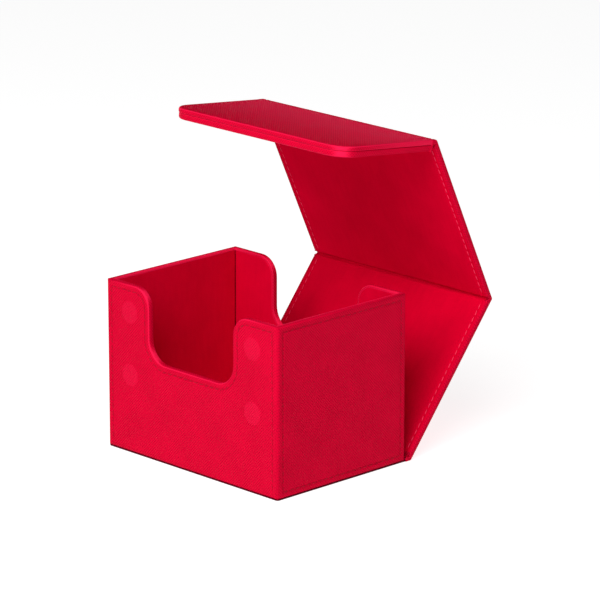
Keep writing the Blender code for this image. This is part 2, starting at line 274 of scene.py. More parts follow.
def inset_along(steps, open_edges=True):
    """Insets the selected face step by step. A step is the distance from the edge and the height."""
    for (was_inset, was_height), (inset, height) in zip(steps, steps[1:]):
        bpy.ops.mesh.inset(thickness=inset - was_inset, depth=height - was_height, use_boundary=open_edges)


def facing_up(face):
    """True for a large face on the outer side."""
    return face.normal.z > UPRIGHT and face.calc_area() > LARGE_FACE


def press_seam(steps, seam_below):
    """Presses a seam into the top face. It runs all round, or along all edges but the lowest one."""
    if seam_below:
        inset_along(steps)
        return
    cage = bmesh.from_edit_mesh(bpy.context.object.data)
    lowest = min(vert.co.y for face in cage.faces if face.select for vert in face.verts)
    cut_y = lowest + PLAIN_STRIP
    slice_at((0, cut_y, 0), (0, 1, 0))
    pick("FACE", lambda face: face.normal.z > UPRIGHT and lowest < face.calc_center_median().y < cut_y)
    bpy.ops.mesh.delete(type="FACE")
    pick("FACE", facing_up)
    inset_along(steps, open_edges=False)
    pick("EDGE", lambda edge: edge.is_boundary and middle(edge).z > -2 * SEAM_PRESS
         and lowest - FINE < middle(edge).y < cut_y + FINE)
    bpy.ops.mesh.edge_face_add()


def wrap(thickness, edge_radius, seam, back_radius, turn_in, seam_below=True):
    """Makes a flat blank into a cover: sides, a round edge, a shaped face and a turned-in back."""
    bpy.ops.mesh.select_mode(type="FACE")
    bpy.ops.mesh.select_all(action="SELECT")
    bpy.ops.transform.translate(value=(0, 0, back_radius - thickness))
    lift = thickness - back_radius - edge_radius
    bpy.ops.mesh.extrude_region_move(TRANSFORM_OT_translate={"value": (0, 0, lift)})
    edge = rounded(edge_radius)
    inset_along(edge)
    press_seam(edge[-1:] + seam, seam_below)
    bpy.ops.mesh.select_all(action="SELECT")
    bpy.ops.mesh.normals_make_consistent(inside=False)
    pick("FACE", lambda face: face.normal.z < -0.9 and face.calc_area() > LARGE_FACE)
    if back_radius:
        inset_along(rounded(back_radius, FINE_EDGE_STEPS))
        bpy.ops.mesh.inset(thickness=turn_in, depth=0)
    bpy.ops.mesh.delete(type="FACE")


def thicken(piece, thickness):
    """Gives a shell its thickness, inwards."""
    bpy.ops.object.mode_set(mode="OBJECT")
    sheet = piece.modifiers.new("thickness", "SOLIDIFY")
    sheet.thickness = thickness
    sheet.offset = -1
    bpy.ops.object.modifier_apply(modifier=sheet.name)


WEAR_AND_HIGHLIGHT_FREE = 0.93  # an edge gets wear and a painted highlight where its normal is turned further from the faces than this
WEAR_AND_HIGHLIGHT_SPAN = 0.12
WEAR_AND_HIGHLIGHT_KEEP_OFF = 0.0014  # a panel's side edges, and what lies this near to them, get neither wear nor painted highlight
WEAR_AND_HIGHLIGHT_LOW = 0.00007  # a spot raised more than this gets a little wear and painted highlight
WEAR_AND_HIGHLIGHT_HIGH = 0.00024
SMOOTH_ANGLE = radians(50)  # faces that meet at more than this keep a sharp edge


def settle(piece, place, wear_and_highlight_sides=False):
    """Charts a finished piece in millimetres, marks its edges and raised spots for wear and a painted
    highlight, and puts it in place.
    """
    if bpy.context.mode != "OBJECT":
        bpy.ops.object.mode_set(mode="OBJECT")
    bpy.ops.object.select_all(action="DESELECT")
    piece.select_set(True)
    bpy.context.view_layer.objects.active = piece
    mesh = piece.data
    rubbed = mesh.attributes.new("rubbed", "FLOAT", "POINT")
    side_x = max(abs(vert.co.x) for vert in mesh.vertices) - WEAR_AND_HIGHLIGHT_KEEP_OFF
    for mark, normal, vert in zip(rubbed.data, mesh.vertex_normals, mesh.vertices):
        x, y, z = (abs(part) for part in normal.vector)
        edge = min(max((WEAR_AND_HIGHLIGHT_FREE - max(x, y, z)) / WEAR_AND_HIGHLIGHT_SPAN, 0), 1)
        if not wear_and_highlight_sides and abs(vert.co.x) > side_x:
            edge = 0
        mark.value = max(edge, min(max((vert.co.z - WEAR_AND_HIGHLIGHT_LOW) / WEAR_AND_HIGHLIGHT_HIGH, 0), 1))
    chart = mesh.uv_layers.new(name="cloth")
    for face in mesh.polygons:
        steepest = max(range(3), key=lambda axis: abs(face.normal[axis]))
        across, along = {0: (1, 2), 1: (0, 2), 2: (0, 1)}[steepest]
        for corner in face.loop_indices:
            spot = mesh.vertices[mesh.loops[corner].vertex_index].co * 1000
            chart.data[corner].uv = (spot[across], spot[along])
    mesh.transform(place)
    bpy.ops.object.shade_smooth_by_angle(angle=SMOOTH_ANGLE)
    return piece


class Wire:
    """One output inside a material. Arithmetic on it adds Math nodes, and node() adds any other."""

    def __init__(self, tree, output=None):
        self.tree = tree
        self.output = output

    def node(self, kind, settings, sockets, output=0):
        made = self.tree.nodes.new(kind)
        for name, value in settings.items():
            if name == "ramp":
                while len(made.color_ramp.elements) < len(value):
                    made.color_ramp.elements.new(0.5)
                for stop, (position, colour) in zip(made.color_ramp.elements, value):
                    stop.position = position
                    stop.color = colour
            else:
                setattr(made, name, value)
        for socket, value in sockets.items():
            if isinstance(value, Wire):
                self.tree.links.new(value.output, made.inputs[socket])
            else:
                made.inputs[socket].default_value = value
        return Wire(self.tree, made.outputs[output])

    def maths(self, operation, first, second=0.0):
        return self.node("ShaderNodeMath", {"operation": operation}, {0: first, 1: second})

    def __add__(self, other):
        return self.maths("ADD", self, other)

    def __radd__(self, other):
        return self.maths("ADD", other, self)

    def __sub__(self, other):
        return self.maths("SUBTRACT", self, other)

    def __mul__(self, other):
        return self.maths("MULTIPLY", self, other)

    def sine(self):
        return self.maths("SINE", self)

    def at_most(self, other):
        return self.maths("MINIMUM", self, other)

    def between(self, dark, light):
        """The colour that lies this far between two others."""
        settings = {"data_type": "RGBA", "clamp_factor": True}
        return self.node("ShaderNodeMix", settings, {0: self, 6: dark, 7: light}, output=2)

    def noise(self, at, scale, detail=2.0):
        return self.node("ShaderNodeTexNoise", {}, {"Vector": at, "Scale": scale, "Detail": detail})


def new_material(name):
    """A material, its Principled shader and a Wire to build on."""
    material = bpy.data.materials.new(name)
    material.use_nodes = True
    return material, material.node_tree.nodes["Principled BSDF"], Wire(material.node_tree)


def shade(shader, wires=(), values=()):
    """Joins wires to a shader's inputs, and sets others to a fixed value."""
    for name, wire in dict(wires).items():
        wire.tree.links.new(wire.output, shader.inputs[name])
    for name, value in dict(values).items():
        shader.inputs[name].default_value = value


GRAIN_PITCH = 0.95  # mm between the crossed lines of the grain
RED = (0.670, 0.0012, 0.0310, 1)
RED_IN_THE_GRAIN = (0.330, 0.0002, 0.0120, 1)
# Paler red of worn edges and raised spots, which is also a painted highlight
RED_WORN_AND_HIGHLIT = (0.920, 0.0140, 0.0800, 1)


def leatherette(name, red, grain_red):
    """Leatherette with a fine crossed grain, paler along edges and raised spots, as wear and as a painted
    highlight.
    """
    material, shader, wire = new_material(name)
    flat = wire.node("ShaderNodeUVMap", {"uv_map": "cloth"}, {})
    drift = wire.noise(flat, 0.45) * 1.2
    across = wire.node("ShaderNodeSeparateXYZ", {}, {"Vector": flat}, output="X")
    along = wire.node("ShaderNodeSeparateXYZ", {}, {"Vector": flat}, output="Y")
    turns = 2 * pi / (GRAIN_PITCH * sqrt(2))
    rising = ((across + along) * turns + drift).sine()
    falling = ((across - along) * turns - drift).sine()
    ribs = rising.at_most(falling) * -0.5 + 0.5
    pores = wire.noise(flat, 3.2, 3.0)
    clouds = wire.noise(flat, 0.07, 3.0)
    stretch = wire.noise(flat, 0.035, 1.0)
    # Mask of edges and raised spots: wear, and a painted highlight along them
    rubbed = wire.node("ShaderNodeAttribute", {"attribute_name": "rubbed"}, {}, output="Fac")
    ground = (ribs * 0.75 + clouds * 0.5 - 0.1).between(grain_red, red)
    wear_and_highlight = rubbed * (0.35 + pores * 0.6)
    colour = wire.node("ShaderNodeMix", {"data_type": "RGBA"}, {0: wear_and_highlight, 6: ground, 7: RED_WORN_AND_HIGHLIT},
                       output=2)
    pull = wire.node("ShaderNodeBump", {}, {"Height": stretch, "Strength": 0.25, "Distance": 0.0008})
    bump = wire.node("ShaderNodeBump", {}, {"Height": ribs * 0.75 + pores * 0.25, "Strength": 1.0,
                                            "Distance": 0.00018, "Normal": pull})
    shade(shader, {"Base Color": colour, "Roughness": 0.42 + clouds * 0.14 - rubbed * 0.08, "Normal": bump},
          {"Specular IOR Level": 0.012})
    return material


LEATHERETTE = leatherette("leatherette", RED, RED_IN_THE_GRAIN)


def front_place(turn, distance):
    """The place of a wall's outer face, turned about the tray's middle."""
    upright = Matrix.Translation((0, -distance, 0)) @ Matrix.Rotation(pi / 2, 4, "X")
    return Matrix.Rotation(turn, 4, "Z") @ upright


# Side, turn about the tray, width of the wall, distance to the middle, and whether it has a cut-out
WALLS = (
    ("front", 0, TRAY_WIDTH, TRAY_DEPTH / 2, True),
    ("right", pi / 2, TRAY_DEPTH, TRAY_WIDTH / 2, False),
    ("rear", pi, TRAY_WIDTH, TRAY_DEPTH / 2, True),
    ("left", -pi / 2, TRAY_DEPTH, TRAY_WIDTH / 2, False),
)

MAGNET_RISE = 0.00013
MAGNET_EDGE = 0.0011  # the leatherette falls off round a magnet over this distance
MAGNET_MARGIN = 0.6 * MAGNET_EDGE  # round each magnet, in the square that is cut up for it
MAGNET_GRID = 22


def raise_over_magnets():
    """Lifts the cover's face over each magnet, as a low round step with a soft edge."""
    spots = []
    for number in (1, 2, 3, 4):
        low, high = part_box(f"front_magnet_{number}")
        spots.append(((low.x + high.x) / 2, (low.z + high.z) / 2, (high.x - low.x) / 2))
    reach = spots[0][2] + MAGNET_MARGIN
    for position, axis in {(round(spot[axis] + side * reach, 6), axis)
                           for spot in spots for axis in (0, 1) for side in (-1, 1)}:
        pick("FACE", facing_up)
        point, normal = [0, 0, 0], [0, 0, 0]
        point[axis], normal[axis] = position, 1
        slice_at(point, normal)
    for x, y, radius in spots:
        pick("FACE", lambda item: item.normal.z > UPRIGHT and item.calc_area() > 0.9 * reach ** 2
             and (item.calc_center_median().xy - Vector((x, y))).length < radius / 2)
        bpy.ops.mesh.subdivide(number_cuts=MAGNET_GRID)
        pick("VERT", lambda item: (item.co.xy - Vector((x, y))).length < radius - MAGNET_EDGE / 2
             and item.co.z > -SEAM_PRESS)
        bpy.ops.transform.translate(value=(0, 0, MAGNET_RISE), use_proportional_edit=True,
                                    proportional_edit_falloff="SMOOTH", proportional_size=MAGNET_EDGE)


BASE_LEATHER = 0.0007  # the base cover, which the walls stand on

for side, turn, width, distance, has_cutout in WALLS:
    cover = blank(side + "_wall_cover", width / 2 - CORNER_VALLEY, BASE_LEATHER, TRAY_HEIGHT)
    if has_cutout:
        cut_out(0)
    wrap(WALL, WALL_EDGE_RADIUS, seam_dip(SEAM_INSET), WALL_BACK_RADIUS, WALL_TURN_IN, not has_cutout)
    if side == "front":
        raise_over_magnets()
    for end in (-1, 1):
        bpy.ops.mesh.select_all(action="SELECT")
        slice_at((end * width / 2, 0, 0), (end, 0, -1), clear=True)
    thicken(cover, LEATHER)
    settle(cover, front_place(turn, distance))
    cover.data.materials.append(LEATHERETTE)
    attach(cover, "tray")
    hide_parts(side + "_skin")


# ---------------------------------------------------------------------------------------------------
# Wall stitching. A row of lock stitches in red polyester thread runs just inside the edges of each
# wall, through the cover and the board. Each stitch is a short plump bead that dips in at both ends.
# ---------------------------------------------------------------------------------------------------

STITCH_PITCH = 0.0033
STITCH_LENGTH = 0.0027
STITCH_WIDTH = 0.00050
STITCH_HEIGHT = 0.00036
STITCH_SINK = 0.00012  # the middle of the thread lies this far under the face
STITCH_SLANT = radians(6)

# The walls' thread is coloured darker than the lid's, as painted shade round its needle holes
WALL_THREAD_SHADED_RED = (0.52, 0.0020, 0.0260, 1)
WALL_THREAD_SHADED_RED_DARK = (0.26, 0.0005, 0.0120, 1)


def thread(name, dark, light):
    """Twisted polyester thread, a little glossier than the leatherette."""
    material, shader, wire = new_material(name)
    flat = wire.node("ShaderNodeUVMap", {"uv_map": "cloth"}, {})
    twist = wire.node("ShaderNodeTexWave", {"bands_direction": "DIAGONAL"},
                      {"Vector": flat, "Scale": 1.6, "Distortion": 0.6}, output="Fac")
    uneven = wire.noise(flat, 0.4, 1.0)
    bump = wire.node("ShaderNodeBump", {}, {"Height": twist, "Strength": 0.5, "Distance": 0.00005})
    shade(shader, {"Base Color": (twist * 0.6 + uneven * 0.5).between(dark, light),
                   "Roughness": 0.34 + uneven * 0.12, "Normal": bump},
          {"Specular IOR Level": 0.06})
    return material


WALL_THREAD_PAINTED_SHADE = thread("sewing_thread", WALL_THREAD_SHADED_RED_DARK, WALL_THREAD_SHADED_RED)


def arc(centre, radius, start, end):
    """Points along an arc between two angles in degrees."""
    turns = [radians(start + (end - start) * step / CORNER_STEPS) for step in range(CORNER_STEPS + 1)]
    return [(centre[0] + radius * cos(turn), centre[1] + radius * sin(turn)) for turn in turns]


def join_to(piece, others):
    """Joins other pieces to a piece."""
    bpy.ops.object.select_all(action="DESELECT")
    for other in others:
        other.select_set(True)
    piece.select_set(True)
    bpy.context.view_layer.objects.active = piece
    bpy.ops.object.join()


def sewn(name, runs):
    """Rows of stitches along runs of points, made from one stitch by an array that follows each run."""
    rows = []
    for points in runs:
        length = sum(dist(here, there) for here, there in zip(points, points[1:]))
        count = round(length / STITCH_PITCH)
        pitch = length / count
        line = bpy.data.curves.new("needle_line", "CURVE")
        line.dimensions = "2D"
        spline = line.splines.new("POLY")
        spline.points.add(len(points) - 1)
        for knot, (x, y) in zip(spline.points, points):
            knot.co = (x, y, 0, 1)
        guide = bpy.data.objects.new("needle_line", line)
        bpy.context.scene.collection.objects.link(guide)
        bpy.ops.object.select_all(action="DESELECT")
        bpy.ops.mesh.primitive_uv_sphere_add(segments=8, ring_count=5, radius=0.5, calc_uvs=False,
                                             location=(pitch / 2, 0, -STITCH_SINK),
                                             rotation=(0, 0, STITCH_SLANT))
        row = bpy.context.object
        row.scale = (STITCH_LENGTH, STITCH_WIDTH, STITCH_HEIGHT)
        bpy.ops.object.transform_apply(location=True, rotation=True, scale=True)
        copies = row.modifiers.new("copies", "ARRAY")
        copies.count = count
        copies.use_relative_offset = False
        copies.use_constant_offset = True
        copies.constant_offset_displace = (pitch, 0, 0)
        follow = row.modifiers.new("follow", "CURVE")
        follow.object = guide
        bpy.ops.object.modifier_apply(modifier=copies.name)
        bpy.ops.object.modifier_apply(modifier=follow.name)
        bpy.data.curves.remove(line)
        rows.append(row)
    piece = rows[0]
    if len(rows) > 1:
        join_to(piece, rows[1:])
    piece.name = piece.data.name = name
    return piece


SEAM_FOOT = 0.0042  # the lowest needle hole of a wall without a seam along its foot

for side, turn, width, distance, has_cutout in WALLS:
    edge_x = width / 2 - CORNER_VALLEY - SEAM_INSET
    top_y = TRAY_HEIGHT - SEAM_INSET
    if has_cutout:
        lip = (-CUTOUT_HALF - CUTOUT_LIP_RADIUS, TRAY_HEIGHT - CUTOUT_LIP_RADIUS)
        corner = (CUTOUT_FLOOR_RADIUS - CUTOUT_HALF, TRAY_HEIGHT - CUTOUT_DEPTH + CUTOUT_FLOOR_RADIUS)
        half_run = [(-edge_x, top_y)] + arc(lip, CUTOUT_LIP_RADIUS - SEAM_INSET, 90, 0)
        half_run += arc(corner, CUTOUT_FLOOR_RADIUS + SEAM_INSET, 180, 270)
        runs = [[(-edge_x, SEAM_FOOT), (-edge_x, top_y)],
                half_run + [(-x, y) for x, y in reversed(half_run)],
                [(edge_x, top_y), (edge_x, SEAM_FOOT)]]
    else:
        foot_y = BASE_LEATHER + SEAM_INSET
        corners = [(-edge_x, foot_y), (-edge_x, top_y), (edge_x, top_y), (edge_x, foot_y)]
        runs = [[here, there] for here, there in zip(corners, corners[1:] + corners[:1])]
    stitching = sewn(side + "_wall_stitching", runs)
    settle(stitching, front_place(turn, distance))
    stitching.data.materials.append(WALL_THREAD_PAINTED_SHADE)
    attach(stitching, "tray")
    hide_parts(side + "_seam")


# ---------------------------------------------------------------------------------------------------
# Linings of the walls and the base. Thin microfibre with a short brushed nap, cut to size and bonded to
# the inside of the boards. The nap lies unevenly, so it is mottled.
# ---------------------------------------------------------------------------------------------------

LINING = 0.0006
LINING_EDGE_RADIUS = 0.0004
LINING_INSET = 0.0009  # from the top edge and the cut-out
PLAIN_RIM = 0.0005  # flat band inside the soft edge of a sheet without a seam

NAP_RED = (0.70, 0.0004, 0.0270, 1)
NAP_RED_DARK = (0.52, 0.0002, 0.0180, 1)


def microfibre():
    """Brushed microfibre: matt, mottled where the nap lies the other way, with a faint bloom."""
    material, shader, wire = new_material("microfibre")
    flat = wire.node("ShaderNodeUVMap", {"uv_map": "cloth"}, {})
    patches = wire.noise(flat, 0.055, 4.0)
    nap = wire.noise(flat, 1.9, 4.0)
    strokes = wire.node("ShaderNodeMapping", {}, {"Vector": flat, "Scale": (0.5, 0.09, 1)})
    brushed = wire.noise(strokes, 1.0, 3.0)
    tone = patches * 0.9 + brushed * 0.45 + nap * 0.35 - 0.35
    bump = wire.node("ShaderNodeBump", {}, {"Height": nap, "Strength": 0.5, "Distance": 0.00012})
    shade(shader, {"Base Color": tone.between(NAP_RED_DARK, NAP_RED), "Roughness": 0.88 + nap * 0.12,
                   "Normal": bump},
          {"Specular IOR Level": 0.0, "Sheen Weight": 0.10, "Sheen Tint": (1.0, 0.0, 0.03, 1)})
    return material


MICROFIBRE = microfibre()


def sheet_of(thickness, edge_radius, seam=()):
    """Makes a flat blank in edit mode into a closed sheet with a soft upper edge."""
    bpy.ops.mesh.select_mode(type="FACE")
    bpy.ops.mesh.select_all(action="SELECT")
    bpy.ops.transform.translate(value=(0, 0, -thickness))
    bpy.ops.mesh.extrude_region_move(TRANSFORM_OT_translate={"value": (0, 0, thickness - edge_radius)})
    edge = rounded(edge_radius, FINE_EDGE_STEPS)
    inset_along(edge + list(seam or [(edge[-1][0] + PLAIN_RIM, 0)]))
    bpy.ops.mesh.select_all(action="SELECT")
    bpy.ops.mesh.normals_make_consistent(inside=False)


def turned_over(place, depth):
    """The same place, but for a piece that shows on the inside, at a depth under the outer face."""
    return place @ Matrix.Translation((0, 0, -depth)) @ Matrix.Rotation(pi, 4, "Y")


for side, turn, width, distance, has_cutout in WALLS:
    half, foot = width / 2 - WALL, WALL
    lining = blank(side + "_wall_lining", half, foot, TRAY_HEIGHT - LINING_INSET)
    flat_area = 2 * half * (TRAY_HEIGHT - LINING_INSET - foot)
    if has_cutout:
        cut_out(LINING_INSET)
        flat_area -= 2 * CUTOUT_HALF * CUTOUT_DEPTH
    sheet_of(LINING, LINING_EDGE_RADIUS)
    settle(lining, turned_over(front_place(turn, distance), WALL))
    lining.data.materials.append(MICROFIBRE)
    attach(lining, "tray")
    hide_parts(side + "_lining")
    2 * half
    TRAY_HEIGHT - LINING_INSET - foot
    side + "_board"

# The base's cover goes on into the lid's first fold, and its lining covers the floor of the well
joints = {joint["name"]: joint for joint in frame["joints"]}
FOLD_SETBACK = 0.0023  # from each fold's axis to the stiff part of the panels beside it
base_end = joints["base_fold"]["pos_m"][1] - FOLD_SETBACK
LEATHER_EDGE_RADIUS = 0.0004
BASE_SHY = 0.0003  # the base stays this far inside the walls' faces
BASE_CORNER_RADIUS = 0.0012
# The whole base cover is coloured dark red as painted shadow, for the shade under the box's bottom edges
BASE_SHADE_RED = (0.120, 0.0004, 0.0090, 1)
BASE_SHADE_RED_IN_THE_GRAIN = (0.070, 0.0002, 0.0050, 1)

base_cover = blank("base_cover", TRAY_WIDTH / 2 - BASE_SHY, BASE_SHY - TRAY_DEPTH / 2, base_end + WALL)
round_corners(BASE_CORNER_RADIUS, lambda vert: vert.co.y < 0, EDGE_STEPS)
sheet_of(BASE_LEATHER, LEATHER_EDGE_RADIUS)
bpy.ops.mesh.select_all(action="SELECT")
slice_at((0, base_end, 0), (0, 1, 0), clear=True)
pick("EDGE", lambda edge: edge.is_boundary)
bpy.ops.mesh.edge_face_add()
settle(base_cover, Matrix.Rotation(pi, 4, "Y"))
base_cover.data.materials.append(leatherette("base_leatherette", BASE_SHADE_RED, BASE_SHADE_RED_IN_THE_GRAIN))
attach(base_cover, "tray")
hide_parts("base_skin")

inner_half, inner_depth = TRAY_WIDTH / 2 - WALL, TRAY_DEPTH / 2 - WALL
base_lining = blank("base_lining_sheet", inner_half, -inner_depth, inner_depth)
sheet_of(LINING, LINING_EDGE_RADIUS)
settle(base_lining, Matrix.Translation((0, 0, WALL)))
base_lining.data.materials.append(MICROFIBRE)
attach(base_lining, "tray")
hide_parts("base_lining")


# ---------------------------------------------------------------------------------------------------
# Boards and magnets, inside the covers. The boards are grey chipboard, cut with a die. The magnets are
# nickel-plated discs pressed into holes in the boards.
# ---------------------------------------------------------------------------------------------------

CHIPBOARD = (0.34, 0.31, 0.27, 1)
CHIPBOARD_DARK = (0.20, 0.18, 0.15, 1)
NICKEL = (0.62, 0.61, 0.58, 1)
NICKEL_DULL = (0.45, 0.44, 0.41, 1)


def chipboard():
    """Grey board with flecks of recycled fibre."""
    material, shader, wire = new_material("chipboard")
    spot = wire.node("ShaderNodeTexCoord", {}, {}, output="Object")
    flecks = wire.noise(spot, 900.0, 4.0)
    pulp = wire.noise(spot, 120.0, 3.0)
    bump = wire.node("ShaderNodeBump", {}, {"Height": flecks, "Strength": 0.4, "Distance": 0.0001})
    shade(shader, {"Base Color": (flecks * 0.9 + pulp * 0.3 - 0.1).between(CHIPBOARD_DARK, CHIPBOARD),
                   "Roughness": 0.85 + flecks * 0.1, "Normal": bump}, {"Specular IOR Level": 0.2})
    return material


def nickel():
    """Bright plating with fine rubbed marks."""
    material, shader, wire = new_material("nickel_plating")
    spot = wire.node("ShaderNodeTexCoord", {}, {}, output="Object")
    rubs = wire.noise(spot, 700.0, 3.0)
    bump = wire.node("ShaderNodeBump", {}, {"Height": rubs, "Strength": 0.15, "Distance": 0.00003})
    shade(shader, {"Base Color": rubs.between(NICKEL_DULL, NICKEL), "Roughness": 0.2 + rubs * 0.25,
                   "Normal": bump}, {"Metallic": 1.0})
    return material


for kind, finish in (("board", chipboard()), ("magnet_", nickel())):
    for name, node in frame["nodes"].items():
        if name.endswith(kind) or (kind in name and name[-1].isdigit()):
            node.data.materials.clear()
            node.data.materials.append(finish)


# ---------------------------------------------------------------------------------------------------
# Back panel and top panel of the lid. Each is a thinner board in the same leatherette, which turns in
# over both side edges, with microfibre on the inner face and a row of stitches through both, along
# each side. They are cut off square at the folds.
# ---------------------------------------------------------------------------------------------------

HINGE_DEPTH = joints["base_fold"]["pos_m"][2]
LID_PANEL = 0.0026
LID_EDGE_RADIUS = 0.0008
LID_BACK_RADIUS = 0.0005
LID_TURN_IN = 0.0005
LID_SEAM_INSET = 0.0030
LID_LINING_INSET = 0.0009
LID_SEAM_END = 0.0012  # from the end of the panel to the first needle hole
# The lid's thread is the walls' thread, coloured much paler as a painted highlight
LID_THREAD_HIGHLIT_RED = (0.92, 0.0500, 0.1300, 1)
LID_THREAD_HIGHLIT_RED_DARK = (0.62, 0.0080, 0.0480, 1)
LID_THREAD_PAINTED_HIGHLIGHT = thread("lid_sewing_thread", LID_THREAD_HIGHLIT_RED_DARK, LID_THREAD_HIGHLIT_RED)
SPARE = 0.01  # a blank is this much too long at each end, and is then cut square

lid_low, lid_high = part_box("back_panel_skin")
LID_HALF = (lid_high.x - lid_low.x) / 2

# For each fold: its axis, how far it is turned, and the place of the panels before and after it
fold_places, lean = {}, 0.0
for name in ("base_fold", "top_fold", "flap_fold"):
    axis_point = Vector(joints[name]["pos_m"])
    turn = radians(-joints[name]["range_deg"][0])
    seats = [Matrix.Translation(axis_point) @ Matrix.Rotation(angle, 4, "X")
             @ Matrix.Translation((0, 0, -HINGE_DEPTH)) @ Matrix.Rotation(pi, 4, "Y")
             for angle in (lean, lean + turn)]
    fold_places[name] = (axis_point, turn, seats[0], seats[1])
    lean += turn


def cut_square(low, high):
    """Cuts a piece off square at both ends."""
    for position, direction in ((low, -1), (high, 1)):
        bpy.ops.mesh.select_all(action="SELECT")
        slice_at((0, position, 0), (0, direction, 0), clear=True)


def close_ends():
    """Closes the square ends of a solid panel, one at a time."""
    for is_end in (lambda edge: middle(edge).y < SPARE, lambda edge: middle(edge).y > SPARE):
        pick("EDGE", lambda edge: edge.is_boundary and is_end(edge))
        bpy.ops.mesh.edge_face_add()


for side, first_fold, second_fold in (("back_panel", "base_fold", "top_fold"),
                                      ("top_panel", "top_fold", "flap_fold")):
    length = (fold_places[second_fold][0] - fold_places[first_fold][0]).length
    place = fold_places[first_fold][3]
    low, high = FOLD_SETBACK, length - FOLD_SETBACK

    cover = blank(side + "_cover", LID_HALF, low - SPARE, high + SPARE)
    wrap(LID_PANEL, LID_EDGE_RADIUS, seam_dip(LID_SEAM_INSET), LID_BACK_RADIUS, LID_TURN_IN)
    cut_square(low, high)
    thicken(cover, LEATHER)
    settle(cover, place)
    cover.data.materials.append(LEATHERETTE)
    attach(cover, side)
    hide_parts(side + "_skin")

    half = LID_HALF - LID_LINING_INSET
    lining = blank(side + "_lining_sheet", half, low - SPARE, high + SPARE)
    sheet_of(LINING, LINING_EDGE_RADIUS, seam_dip(LID_SEAM_INSET - LID_LINING_INSET))
    cut_square(low, high)
    close_ends()
    settle(lining, turned_over(place, LID_PANEL))
    lining.data.materials.append(MICROFIBRE)
    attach(lining, side)
    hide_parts(side + "_lining")
    2 * half

    # The panel's own X runs the other way from the box's, so its left row stands for the right seam
    for hand, seam_hand, direction in (("left", "right", -1), ("right", "left", 1)):
        seam_x = direction * (LID_HALF - LID_SEAM_INSET)
        run = [(seam_x, low + LID_SEAM_END), (seam_x, high - LID_SEAM_END)]
        stitching = sewn(f"{side}_{hand}_stitching", [run])
        inside = sewn("inner_stitches", [run])
        inside.data.transform(turned_over(Matrix.Identity(4), LID_PANEL))
        inside.data.transform(Matrix.Translation((2 * seam_x, 0, 0)))
        join_to(stitching, [inside])
        settle(stitching, place)
        stitching.data.materials.append(LID_THREAD_PAINTED_HIGHLIGHT)
        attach(stitching, side)
        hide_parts(f"{side}_{seam_hand}_seam")


# ---------------------------------------------------------------------------------------------------
# Front flap. The leatherette is wrapped over a first board with soft round edges. Under it lies a
# second board that holds the magnets, bound separately, so a fine groove runs round the flap's edge.
# The inside is lined.
# ---------------------------------------------------------------------------------------------------

FLAP = 0.0050
FLAP_UPPER = 0.0021
FLAP_GROOVE = 0.0001
FLAP_TAPER = 0.0008
FLAP_CORNER_RADIUS = 0.010
FLAP_EDGE_RADIUS = 0.00095
FLAP_UNDER_RADIUS = 0.0004
FLAP_TURN_IN = 0.0015
FLAP_SHY = 0.0003  # the second board is this much smaller all round
# Distance from the edge and height: the face swells a little, and the inner cover steps down to the board
FLAP_CROWN = [(0.0022, 0.00005), (0.0045, 0.00010), (0.0052, 0.00010)]
FLAP_LEDGE = [(0.0011, -0.0001), (0.0012, -0.0004), (0.0015, -0.0004)]

flap_axis = fold_places["flap_fold"][0]
flap_place = fold_places["flap_fold"][3]
flap_direction = (flap_place.to_3x3() @ Vector((0, 1, 0))).normalized()
FLAP_LENGTH = max((corner.co - flap_axis).dot(flap_direction)
                  for corner in frame["nodes"]["flap_skin"].data.vertices)


def flap_blank(name, inset, start):
    """The flap's outline, a little narrower at its free end, drawn in all round by an inset."""
    end = FLAP_LENGTH - inset
    half = LID_HALF - inset
    piece = blank(name, half, start, end)
    pick("VERT", lambda vert: vert.co.y > end - FINE)
    bpy.ops.transform.resize(value=(1 - FLAP_TAPER / half, 1, 1))
    round_corners(FLAP_CORNER_RADIUS - inset, lambda vert: vert.co.y > end - FINE)
    return piece


flap_cover = flap_blank("flap_cover", 0, -SPARE)
wrap(FLAP_UPPER, FLAP_EDGE_RADIUS, FLAP_CROWN, FLAP_UNDER_RADIUS, FLAP_TURN_IN)
bpy.ops.mesh.select_all(action="SELECT")
slice_at((0, FOLD_SETBACK, 0), (0, -1, 0), clear=True)
thicken(flap_cover, LEATHER)
# The flap's side edges also get the wear and painted highlight
settle(flap_cover, flap_place, wear_and_highlight_sides=True)
flap_cover.data.materials.append(LEATHERETTE)
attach(flap_cover, "front_flap")
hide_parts("flap_skin")

flap_inner = flap_blank("flap_inner_cover", FLAP_SHY, FOLD_SETBACK + FLAP_SHY)
wrap(FLAP - FLAP_UPPER - FLAP_GROOVE, FLAP_EDGE_RADIUS, FLAP_LEDGE, FLAP_UNDER_RADIUS, FLAP_TURN_IN)
thicken(flap_inner, LEATHER)
settle(flap_inner, turned_over(flap_place, FLAP))
flap_inner.data.materials.append(LEATHERETTE)
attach(flap_inner, "front_flap")

FLAP_LINING_START = 0.0030
flap_lining = flap_blank("flap_lining_sheet", FLAP_SHY + LID_LINING_INSET, FLAP_LINING_START)
sheet_of(LINING, LINING_EDGE_RADIUS)
settle(flap_lining, turned_over(flap_place, FLAP))
flap_lining.data.materials.append(MICROFIBRE)
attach(flap_lining, "front_flap")
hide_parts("flap_lining")
FLAP_LENGTH - FLAP_LINING_START


# ---------------------------------------------------------------------------------------------------
# Folds. Between two boards the leatherette and the lining go on alone and bend round the fold's axis.
# Outside, the leatherette makes a soft round ridge, and inside, the lining dips into a narrow crease.
# ---------------------------------------------------------------------------------------------------

FOLD_STEPS = 10
FOLD_SIDE = 0.00005  # straight part of the strip's side, under its round edge


